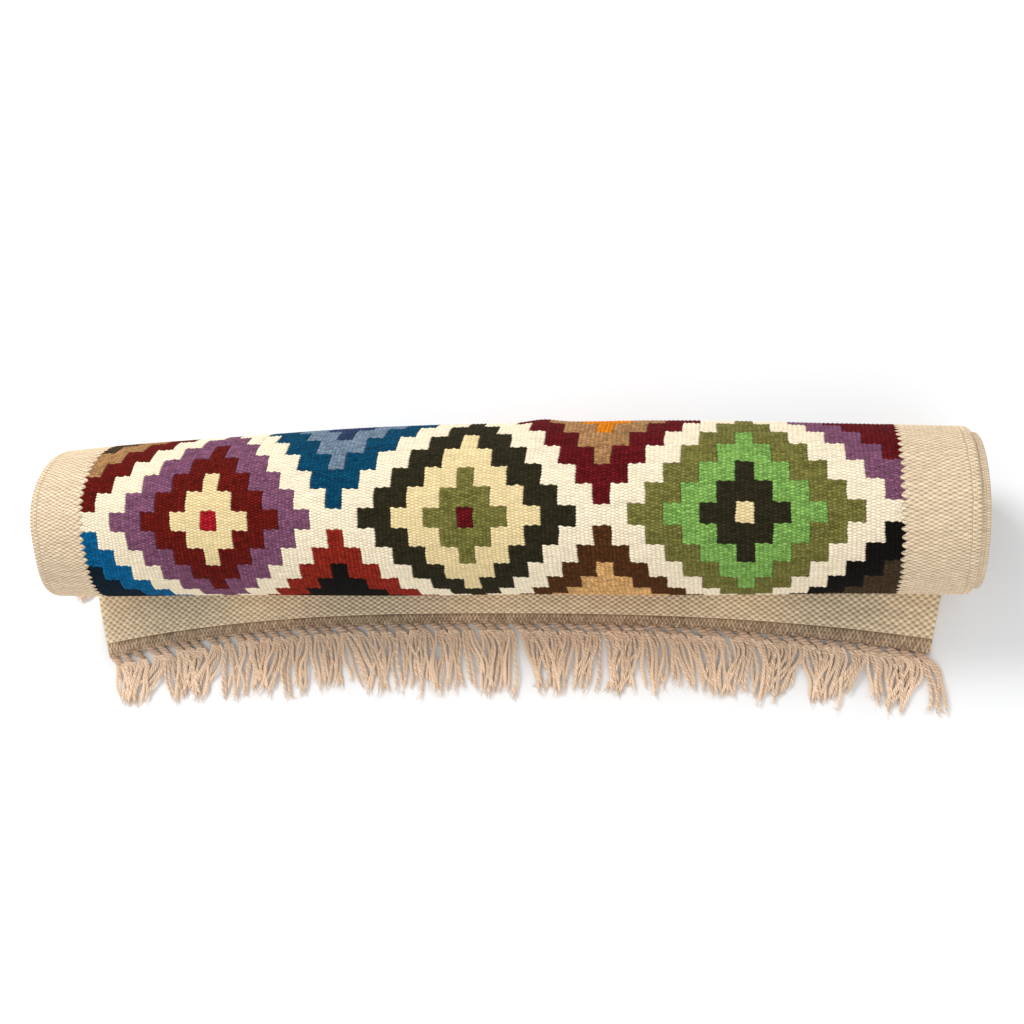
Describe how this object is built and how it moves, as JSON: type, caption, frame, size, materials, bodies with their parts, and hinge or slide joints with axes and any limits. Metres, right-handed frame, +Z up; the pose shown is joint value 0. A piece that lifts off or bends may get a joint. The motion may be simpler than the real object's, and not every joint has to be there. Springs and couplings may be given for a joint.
{
  "type": "area rug",
  "caption": "Rolled flat-woven wool rug with stepped diamonds in many colours on a cream ground, its knotted, fringed end lying out flat in front.",
  "frame": {"origin": "on the underside of the cloth, on the floor straight below the roll's axis, at mid width", "axes": "+X along the roll, which is the rug's width; +Y behind the roll, away from the fringed flap; +Z up"},
  "size_m": [0.9461, 0.2687, 0.1641],
  "materials": {
    "cream": "matte wool",
    "taupe": "matte wool",
    "fringe": "matte wool",
    "purple": "matte wool",
    "rust": "matte wool",
    "straw": "matte wool",
    "charcoal": "matte wool",
    "olive": "matte wool",
    "leaf": "matte wool",
    "crimson": "matte wool",
    "burgundy": "matte wool",
    "teal": "matte wool",
    "navy": "matte wool",
    "blue": "matte wool",
    "brick": "matte wool",
    "brown": "matte wool",
    "tan": "matte wool",
    "black": "matte wool",
    "orange": "matte wool"
  },
  "bodies": {
    "roll": {"core_fold": "cream", "end_border": "cream", "end_left_diamond": "leaf", "end_middle_diamond": "crimson", "end_right_diamond": "teal", "field_ground": "cream", "inner_turns": "cream", "left_border": "cream", "left_diamond_centre": "crimson", "left_diamond_cross": "straw", "left_diamond_middle_ring": "rust", "left_diamond_outer_ring": "purple", "left_selvedge": "cream", "lower_far_left_diamond_core": "navy", "lower_far_left_diamond_ring": "blue", "lower_far_right_diamond_core": "brown", "lower_far_right_diamond_ring": "black", "lower_left_diamond_core": "black", "lower_left_diamond_ring": "brick", "lower_right_diamond_core": "tan", "lower_right_diamond_ring": "brown", "middle_diamond_centre": "burgundy", "middle_diamond_cross": "olive", "middle_diamond_middle_ring": "straw", "middle_diamond_outer_ring": "charcoal", "right_border": "cream", "right_diamond_centre": "straw", "right_diamond_cross": "charcoal", "right_diamond_middle_ring": "leaf", "right_diamond_outer_ring": "olive", "right_selvedge": "cream", "stray_tassel": "fringe", "tucked_end_band": "taupe", "tucked_fringe": "fringe", "under_half": "cream", "upper_far_left_diamond_core": "tan", "upper_far_left_diamond_ring": "rust", "upper_far_right_diamond_core": "burgundy", "upper_far_right_diamond_ring": "purple", "upper_left_diamond_core": "navy", "upper_left_diamond_ring": "teal", "upper_right_diamond_core": "orange", "upper_right_diamond_ring": "burgundy"},
    "flap": {"end_band": "taupe", "flap_panel": "cream", "fringe_bundle_01": "fringe", "fringe_bundle_02": "fringe", "fringe_bundle_03": "fringe", "fringe_bundle_04": "fringe", "fringe_bundle_05": "fringe", "fringe_bundle_06": "fringe", "fringe_bundle_07": "fringe", "fringe_bundle_08": "fringe", "fringe_bundle_09": "fringe", "fringe_bundle_10": "fringe", "fringe_bundle_11": "fringe", "fringe_bundle_12": "fringe", "knot_row": "fringe"}
  },
  "joints": [
    {"name": "flap_lift", "type": "hinge", "parent": "roll", "child": "flap", "pos_m": [0, -0.06, 0.005], "axis": [-1, 0, 0], "range_deg": [0, 60]}
  ]
}
